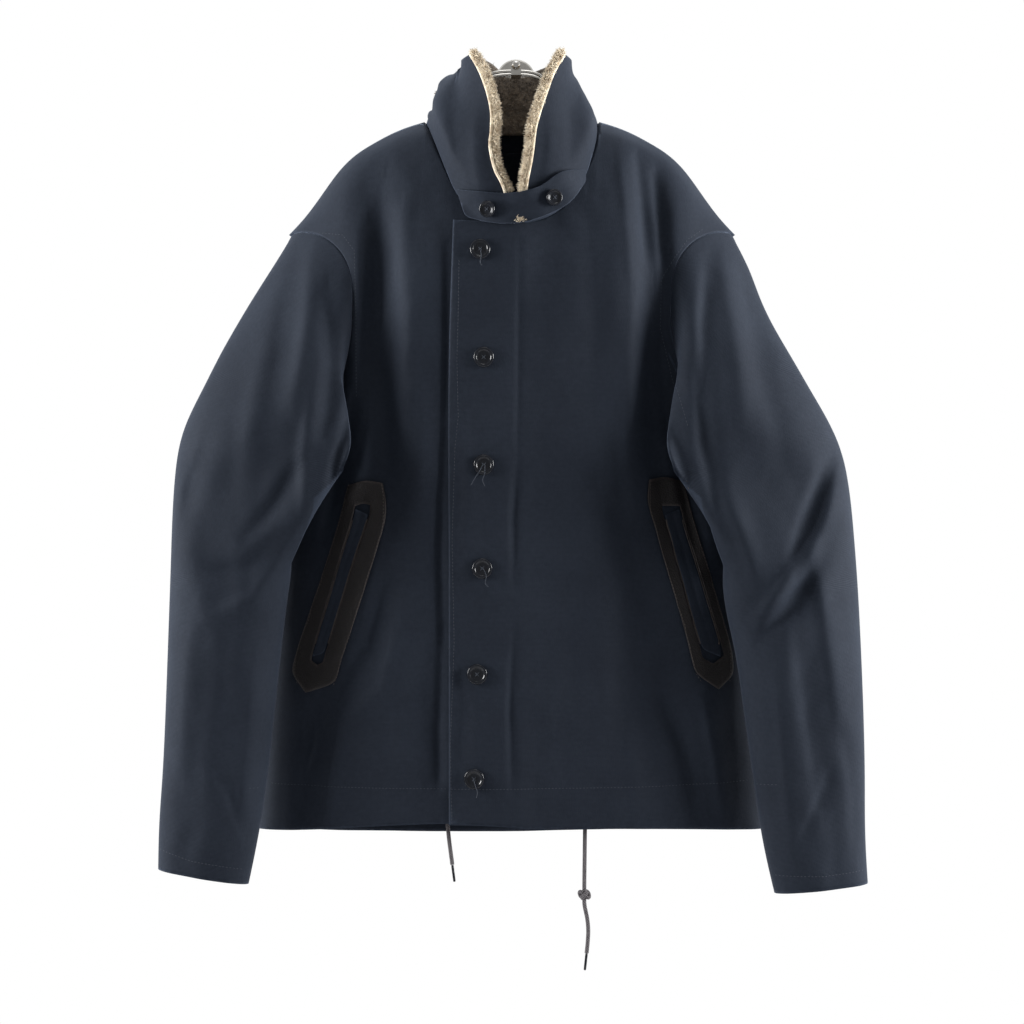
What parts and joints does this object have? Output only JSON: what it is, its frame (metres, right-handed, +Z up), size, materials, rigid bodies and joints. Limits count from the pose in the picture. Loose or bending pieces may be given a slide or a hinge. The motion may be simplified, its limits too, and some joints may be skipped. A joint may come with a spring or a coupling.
{
  "type": "deck jacket on a wire hanger with a wall peg",
  "caption": "hip-length buttoned deck jacket with a pile-lined stand collar, chin tab, leather-framed slanted pockets and hem drawstrings, hung on a wire hanger from a wall peg",
  "frame": {"origin": "centre of the wall plate's back face, on the peg's axis, at the wall", "axes": "+Z up, +X to the wearer's left, +Y into the wall"},
  "size_m": [0.6994, 0.1898, 0.9168],
  "materials": {
    "navy_cloth": "matt ribbed cotton",
    "navy_inner_cloth": "matt cotton",
    "cream_pile": "fluffy pile",
    "brown_pile": "short pile",
    "dark_leather": "satin",
    "gloss_black": "gloss",
    "cord": "braided",
    "bright_steel": "polished"
  },
  "bodies": {
    "root": {"front_left": "navy_cloth", "front_right": "navy_cloth", "back": "navy_cloth", "sleeve_left": "navy_cloth", "sleeve_right": "navy_cloth", "collar": "navy_cloth", "chin_tab": "navy_cloth", "pocket_welt_left": "navy_inner_cloth", "pocket_welt_right": "navy_inner_cloth", "collar_pile_left": "cream_pile", "collar_pile_right": "cream_pile", "collar_lining_back": "brown_pile", "pocket_frame_left": "dark_leather", "pocket_frame_right": "dark_leather", "front_button_1": "gloss_black", "front_button_2": "gloss_black", "front_button_3": "gloss_black", "front_button_4": "gloss_black", "front_button_5": "gloss_black", "front_button_6": "gloss_black", "tab_button_1": "gloss_black", "tab_button_2": "gloss_black", "drawstring_left": "cord", "drawstring_right": "cord", "drawstring_knot": "cord", "hem_eyelet_left": "bright_steel", "hem_eyelet_right": "bright_steel", "aglet_left": "bright_steel", "aglet_right": "bright_steel", "hanger_wire": "bright_steel", "hanger_block": "bright_steel", "wall_peg": "bright_steel", "wall_plate": "bright_steel"}
  },
  "joints": []
}
